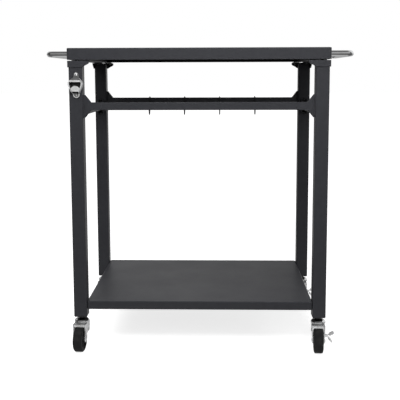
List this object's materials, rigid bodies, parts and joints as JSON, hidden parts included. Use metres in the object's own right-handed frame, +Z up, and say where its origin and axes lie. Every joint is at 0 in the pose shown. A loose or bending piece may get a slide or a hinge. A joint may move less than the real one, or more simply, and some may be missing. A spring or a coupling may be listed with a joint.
{
  "type": "grill cart",
  "caption": "Steel grill cart with a folded worktop, square legs, tool rails with hooks, a bottle opener, chrome handles, a lower shelf and swivel casters.",
  "frame": {"origin": "on the floor, under the middle of the whole cart's bounding box", "axes": "+Z up, +X to the cart's right along its width, -Y towards the front, the side with the bottle opener"},
  "size_m": [0.938, 0.5484, 0.914],
  "materials": {
    "powder_coat": "fine-textured charcoal powder coat",
    "handle_chrome": "polished chrome plate",
    "opener_steel": "bright zinc plate",
    "hook_wire": "satin black coat",
    "black_fastener": "black oxide",
    "black_plastic": "moulded nylon",
    "caster_zinc": "bright chrome-zinc plate",
    "tyre_rubber": "moulded rubber tread"
  },
  "bodies": {
    "frame": {"worktop": "powder_coat", "worktop_channel_left": "powder_coat", "worktop_channel_right": "powder_coat", "corner_bracket_front_left": "powder_coat", "corner_bracket_front_right": "powder_coat", "corner_bracket_rear_left": "powder_coat", "corner_bracket_rear_right": "powder_coat", "leg_front_left": "powder_coat", "leg_front_right": "powder_coat", "leg_rear_left": "powder_coat", "leg_rear_right": "powder_coat", "front_rail": "powder_coat", "rear_rail": "powder_coat", "left_rail": "powder_coat", "right_rail": "powder_coat", "lower_shelf": "powder_coat", "shelf_channel": "powder_coat", "handle_left": "handle_chrome", "handle_right": "handle_chrome", "bottle_opener": "opener_steel", "opener_screws": "opener_steel", "bracket_bolts": "black_fastener", "bracket_nuts": "black_fastener", "rail_bolts": "black_fastener", "shelf_bolts": "black_fastener", "leg_nuts": "black_fastener", "handle_bolts": "black_fastener", "leg_plug_front_left": "black_plastic", "leg_plug_front_right": "black_plastic", "leg_plug_rear_left": "black_plastic", "leg_plug_rear_right": "black_plastic", "caster_stem_front_left": "caster_zinc", "caster_stem_front_right": "caster_zinc", "caster_stem_rear_left": "caster_zinc", "caster_stem_rear_right": "caster_zinc"},
    "swivel_front_left": {"caster_fork_front_left": "caster_zinc", "caster_axle_front_left": "caster_zinc"},
    "wheel_front_left": {"wheel_hub_front_left": "black_plastic", "wheel_tyre_front_left": "tyre_rubber"},
    "swivel_front_right": {"caster_fork_front_right": "caster_zinc", "caster_axle_front_right": "caster_zinc"},
    "wheel_front_right": {"wheel_hub_front_right": "black_plastic", "wheel_tyre_front_right": "tyre_rubber"},
    "brake_front_right": {"brake_lever_front_right": "caster_zinc"},
    "swivel_rear_left": {"caster_fork_rear_left": "caster_zinc", "caster_axle_rear_left": "caster_zinc"},
    "wheel_rear_left": {"wheel_hub_rear_left": "black_plastic", "wheel_tyre_rear_left": "tyre_rubber"},
    "swivel_rear_right": {"caster_fork_rear_right": "caster_zinc", "caster_axle_rear_right": "caster_zinc"},
    "wheel_rear_right": {"wheel_hub_rear_right": "black_plastic", "wheel_tyre_rear_right": "tyre_rubber"},
    "brake_rear_right": {"brake_lever_rear_right": "caster_zinc"},
    "hook_body_1": {"hook_1": "hook_wire"},
    "hook_body_2": {"hook_2": "hook_wire"},
    "hook_body_3": {"hook_3": "hook_wire"},
    "hook_body_4": {"hook_4": "hook_wire"}
  },
  "joints": [
    {"name": "caster_swivel_front_left", "type": "hinge", "parent": "frame", "child": "swivel_front_left", "pos_m": [-0.361, -0.20976, 0.0852], "axis": [0, 0, 1], "continuous": true},
    {"name": "wheel_spin_front_left", "type": "hinge", "parent": "swivel_front_left", "child": "wheel_front_left", "pos_m": [-0.36327, -0.23566, 0.038], "axis": [0.9962, -0.0872, 0], "continuous": true},
    {"name": "caster_swivel_front_right", "type": "hinge", "parent": "frame", "child": "swivel_front_right", "pos_m": [0.361, -0.20976, 0.0852], "axis": [0, 0, 1], "continuous": true},
    {"name": "wheel_spin_front_right", "type": "hinge", "parent": "swivel_front_right", "child": "wheel_front_right", "pos_m": [0.35919, -0.2357, 0.038], "axis": [0.9976, -0.0698, 0], "continuous": true},
    {"name": "brake_press_front_right", "type": "hinge", "parent": "swivel_front_right", "child": "brake_front_right", "pos_m": [0.38313, -0.23737, 0.054], "axis": [0.0698, 0.9976, 0], "range_deg": [0, 24]},
    {"name": "caster_swivel_rear_left", "type": "hinge", "parent": "frame", "child": "swivel_rear_left", "pos_m": [-0.361, 0.25024, 0.0852], "axis": [0, 0, 1], "continuous": true},
    {"name": "wheel_spin_rear_left", "type": "hinge", "parent": "swivel_rear_left", "child": "wheel_rear_left", "pos_m": [-0.36327, 0.22434, 0.038], "axis": [0.9962, -0.0872, 0], "continuous": true},
    {"name": "caster_swivel_rear_right", "type": "hinge", "parent": "frame", "child": "swivel_rear_right", "pos_m": [0.361, 0.25024, 0.0852], "axis": [0, 0, 1], "continuous": true},
    {"name": "wheel_spin_rear_right", "type": "hinge", "parent": "swivel_rear_right", "child": "wheel_rear_right", "pos_m": [0.35919, 0.2243, 0.038], "axis": [0.9976, -0.0698, 0], "continuous": true},
    {"name": "brake_press_rear_right", "type": "hinge", "parent": "swivel_rear_right", "child": "brake_rear_right", "pos_m": [0.38313, 0.22263, 0.054], "axis": [0.0698, 0.9976, 0], "range_deg": [0, 24]},
    {"name": "hook_slide_1", "type": "slide", "parent": "frame", "child": "hook_body_1", "axis": [1, 0, 0], "range_m": [-0.095, 0.06]},
    {"name": "hook_slide_2", "type": "slide", "parent": "frame", "child": "hook_body_2", "axis": [1, 0, 0], "range_m": [-0.06, 0.06]},
    {"name": "hook_slide_3", "type": "slide", "parent": "frame", "child": "hook_body_3", "axis": [1, 0, 0], "range_m": [-0.06, 0.06]},
    {"name": "hook_slide_4", "type": "slide", "parent": "frame", "child": "hook_body_4", "axis": [1, 0, 0], "range_m": [-0.06, 0.095]}
  ]
}
